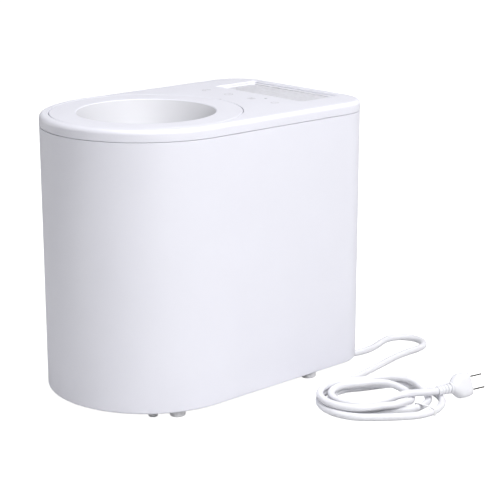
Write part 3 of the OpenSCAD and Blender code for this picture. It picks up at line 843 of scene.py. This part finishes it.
def status_lens():
    """Small domed lens of the lamp."""
    shape = Solid(Matrix.Translation((*LAMP, 0)))
    shape.lathe(
        [(0, 263), (1.6, 263), (1.6, 271.6), (1.45, 271.85), (1.0, 272.02), (0, 272.1)],
        32, False,
    )
    return shape.finish("status_lens", "housing_body", "lamp_lens", ["status_lamp"])


def guide_dot():
    """Printed dot beside the lid."""
    shape = Solid(Matrix.Translation((DOT_X, 0, 0)))
    low, rim, high = TOP_Z - 0.1, TOP_Z + 0.03, TOP_Z + 0.06
    shape.lathe([(0, low), (1.1, low), (1.1, rim), (0.95, high), (0, high)], 32, False)
    return shape.finish("guide_dot", "housing_body", "mark_grey", ["align_dot"])


def stroke(shape, points, width, z0, z1, closed=False):
    """A flat printed line of even width along points."""
    count = len(points)
    left, right = [], []
    for i in range(count):
        before = points[i - 1] if closed or i else points[i]
        after = points[(i + 1) % count] if closed or i < count - 1 else points[i]
        along = (Vector(after) - Vector(before)).normalized()
        side = Vector((-along.y, along.x)) * width / 2
        left.append(Vector(points[i]) + side)
        right.append(Vector(points[i]) - side)
    rings = [
        [shape.vert(*a, z0), shape.vert(*b, z0), shape.vert(*b, z1), shape.vert(*a, z1)]
        for a, b in zip(left, right)
    ]
    shape.walls(rings, closed)
    if not closed:
        shape.cap(rings[0])
        shape.cap(rings[-1])


def touch_signs():
    """Four plain printed signs: mist speed, timer, night setting and power."""
    z0, z1, line = TOP_Z - 0.06, TOP_Z + 0.05, 0.75
    shape = Solid()

    def at(i):
        shape.place = Matrix.Translation((MARK_X, (i - 1.5) * MARK_PITCH, 0)) @ Matrix.Rotation(
            math.radians(-90), 4, "Z"
        )

    # power: broken ring and a stem
    at(0)
    stroke(shape, arc(0, 0, 3.6, 125, 415, 40), line, z0, z1)
    stroke(shape, [(0, 0.4), (0, 4.6)], line, z0, z1)
    # mist: three short waves
    at(1)
    for y in (-2.4, 0, 2.4):
        wave = [(x / 4, y + 0.7 * math.sin(x / 4 * 1.35)) for x in range(-16, 17)]
        stroke(shape, wave, line, z0, z1)
    # timer: ring with two hands
    at(2)
    stroke(shape, arc(0, 0, 4.2, 0, 360, 44)[:-1], line, z0, z1, True)
    stroke(shape, [(0, 2.7), (0, 0), (1.9, -1.1)], line, z0, z1)
    # night: crescent
    at(3)
    crescent = arc(0, 0, 4.2, 60, 300, 36) + arc(2.6, 0, 3.3, 250, 110, 24)[1:-1]
    stroke(shape, crescent, line, z0, z1, True)
    return shape.finish("touch_signs", "housing_body", "mark_grey", ["touch_marks"], 30)


def lid():
    """Flat ring of the lid with its skirt; its inner edge rolls into the funnel."""
    shape = Solid(Matrix.Translation((ROUND_X, 0, 0)))
    roll = Vector((OUTLET_R - FUNNEL_R, THROAT_Z - TOP_Z)).normalized() * 1.2
    shape.lathe(
        rounded(
            [
                (FUNNEL_R + roll.x, TOP_Z + roll.y, 0), (FUNNEL_R, TOP_Z, 1.2),
                (LID_R, TOP_Z, 0.6), (LID_R, 262.3, 0.4), (88.2, 262.3, 0.4),
                (88.2, 269, 0.8), (FUNNEL_R + 0.4, 269, 0.4),
            ],
            closed=True, steps=6,
        ),
        160,
    )
    return shape.finish("lid_ring", "lid_body", "shell_white", ["tank_lid"])


def funnel():
    """Cone of the outlet with a short lip at its bottom."""
    shape = Solid(Matrix.Translation((ROUND_X, 0, 0)))
    roll = Vector((OUTLET_R - FUNNEL_R, THROAT_Z - TOP_Z)).normalized() * 1.15
    shape.lathe(
        rounded(
            [
                (OUTLET_R, THROAT_END_Z, 0.5), (OUTLET_R, THROAT_Z, 0.8),
                (FUNNEL_R + roll.x, TOP_Z + roll.y, 0), (FUNNEL_R, 269.4, 0),
                (43.2, THROAT_Z - 1, 1.0), (43.2, THROAT_END_Z, 0.5),
            ],
            closed=True, steps=6,
        ),
        160,
    )
    # the cone wears the darker funnel_white, which is painted shade on the same white plastic
    # as the lid ring
    return shape.finish("funnel_cone", "lid_body", "funnel_white", ["outlet_funnel"])


def bar(shape, a, b, width, z0, z1, crown=0.45):
    """A straight bar between two points with rounded upper edges."""
    a, b = Vector(a), Vector(b)
    along = (b - a).normalized()
    side = Vector((-along.y, along.x))
    half = width / 2
    section = rounded(
        [(-half, z0, 0.15), (half, z0, 0.15), (half, z1, crown), (-half, z1, crown)],
        closed=True, steps=3,
    )
    rings = [
        [shape.vert(*(p + side * s), z) for s, z in section]
        for p in (a, b)
    ]
    shape.walls(rings)
    shape.cap(rings[0])
    shape.cap(rings[1])


def grille():
    """Inlet grille: rim, fine bars across the body and thin ribs under them."""
    pitch, into_rim = 4.0, 0.5
    clear, rim, z0, z1 = 0.3, 3.0, 266.3, 269.9
    half_l, half_w = GRILLE_HALF_L - clear, GRILLE_HALF_W - clear
    shape = Solid()
    section = rounded([(0, z0, 0.3), (0, z1, 0.6), (rim, z1, 0.6), (rim, z0, 0.3)], True, 4)
    shape.walls(
        [
            shape.loop(rounded_box(GRILLE_X, 0, half_l - i, half_w - i, max(2.0 - i, 0.3)), z)
            for i, z in section
        ],
        closed=True,
    )
    rows = int((2 * half_l - 2 * rim) / pitch)
    span = 2 * (half_l - rim)
    for i in range(1, rows):
        x = GRILLE_X - half_l + rim + span * i / rows
        end = half_w - rim + into_rim
        bar(shape, (x, -end), (x, end), 1.8, z0 + 1, z1 - 0.6, 0.5)
    end = half_l - rim + into_rim
    for y in range(-50, 51, 10):
        bar(shape, (GRILLE_X - end, y), (GRILLE_X + end, y), 1.6, z0, z0 + 2)
    return shape.finish("grille_panel", "grille_body", "grille_grey", ["inlet_grille"])


housing()
housing_fittings()
top_cover()
status_lens()
guide_dot()
touch_signs()
lid()
funnel()
grille()

# ---- everything else: the CAD part's own form with its edges broken ----

EDGE_BREAK = {
    "base_plate": 0.5, "feet": 0.8, "level_stubs": 0.5, "base_screws": 0.12,
    "well_liner": 0.5, "tank": 0.6, "tank_collar": 0.4, "wick_frame": 0.5,
    "rating_plate": 0.1, "fan_rotor": 0.25, "touch_springs": 0.1, "board_chips": 0.15,
    "power_board": 0.15, "main_board": 0.15, "touch_board": 0.15, "level_sensor": 0.15,
    "wick": 0.0, "fan_wires": 0.0, "mains_wires": 0.0,
}
DEFAULT_BREAK = 0.3


def dressed(node):
    """A copy of a CAD node with its sharp edges bevelled."""
    source = frame["nodes"][node]
    bm = bmesh.new()
    bm.from_mesh(source.data)
    bmesh.ops.remove_doubles(bm, verts=bm.verts, dist=2e-6)
    bmesh.ops.dissolve_limit(
        bm, angle_limit=math.radians(0.5), verts=bm.verts, edges=bm.edges
    )
    width = EDGE_BREAK.get(node, DEFAULT_BREAK)
    if width:
        sharp = [
            e for e in bm.edges
            if len(e.link_faces) == 2 and e.calc_face_angle() > math.radians(35)
        ]
        bmesh.ops.bevel(
            bm, geom=sharp, offset=width * MM, segments=2, profile=0.6,
            affect="EDGES", clamp_overlap=True,
        )
    bmesh.ops.recalc_face_normals(bm, faces=bm.faces)
    mesh = bpy.data.meshes.new(node)
    bm.to_mesh(mesh)
    bm.free()
    return piece(f"{node}_part", mesh, BODY_OF[node], SLOT_OF[node], [node])


for name, node in frame["nodes"].items():
    if not node.hide_render:
        dressed(name)

# ---- floor and light ----


def camera_only(tree, others, seen, socket):
    """Give a socket one value where it is seen directly and another elsewhere."""
    strength = tree.nodes.new("ShaderNodeMapRange")
    strength.inputs["To Min"].default_value = others
    strength.inputs["To Max"].default_value = seen
    path = tree.nodes.new("ShaderNodeLightPath")
    link(tree, path.outputs["Is Camera Ray"], strength.inputs["Value"])
    link(tree, strength.outputs["Result"], socket)


def floor():
    """Plain floor, lit by the lamps and raised to white where the camera sees it."""
    mesh = bpy.data.meshes.new("floor")
    half = 30.0
    mesh.from_pydata(
        [(-half, -half, 0), (half, -half, 0), (half, half, 0), (-half, half, 0)],
        [], [(0, 1, 2, 3)],
    )
    obj = bpy.data.objects.new("floor", mesh)
    bpy.context.scene.collection.objects.link(obj)
    look = surface(
        "floor_white", (0.62, 0.62, 0.62), 0.004, 2, (0.9, 0.95), 4, 300, 0.05, 0.00002
    )
    shader = look.node_tree.nodes["Principled BSDF"]
    shader.inputs["Emission Color"].default_value = (1, 1, 1, 1)
    shader.inputs["Specular IOR Level"].default_value = 0.0
    camera_only(look.node_tree, 0.0, FLOOR_SEEN, shader.inputs["Emission Strength"])
    mesh.materials.append(look)
    return obj


def area_light(name, azimuth, elevation, distance, size, power, aim=(0, 0, 0.13)):
    """A square light at a compass angle round the object, aimed at it."""
    a, e = math.radians(azimuth), math.radians(elevation)
    away = Vector((math.sin(a) * math.cos(e), -math.cos(a) * math.cos(e), math.sin(e)))
    data = bpy.data.lights.new(name, "AREA")
    data.shape = "SQUARE"
    data.size = size
    data.energy = power
    obj = bpy.data.objects.new(name, data)
    bpy.context.scene.collection.objects.link(obj)
    obj.location = Vector(aim) + away * distance
    obj.rotation_mode = "QUATERNION"
    obj.rotation_quaternion = (-away).to_track_quat("-Z", "Y")
    return obj


def room():
    """Even white room: bright to the eye, dimmer as a source of light."""
    world = bpy.data.worlds.new("room")
    bpy.context.scene.world = world
    world.use_nodes = True
    tree = world.node_tree
    back = tree.nodes["Background"]
    back.inputs["Color"].default_value = (1, 1, 1, 1)
    camera_only(tree, ROOM_LIGHT, ROOM_SEEN, back.inputs["Strength"])


# brightness of the room for its light and for the camera, and of the floor for the camera
ROOM_LIGHT = 0.06
ROOM_SEEN = 1.05
FLOOR_SEEN = 0.97
floor()
# name, azimuth, elevation in degrees, distance and size in metres, power in watts
area_light("key", -8, 46, 2.4, 1.3, 47)
area_light("top", 20, 82, 2.4, 1.6, 32)
area_light("left_fill", -108, 3, 0.6, 0.06, 0.4, aim=(-0.1, 0, 0.0))
area_light("front_fill", -25, 4, 0.8, 0.08, 0.45, aim=(0.0, -0.1, 0.0))
area_light("back_fill", 200, 7, 1.6, 0.3, 4)
area_light("right_fill", 85, 7, 1.6, 0.3, 3)
room()
bpy.context.scene.view_settings.view_transform = "Standard"
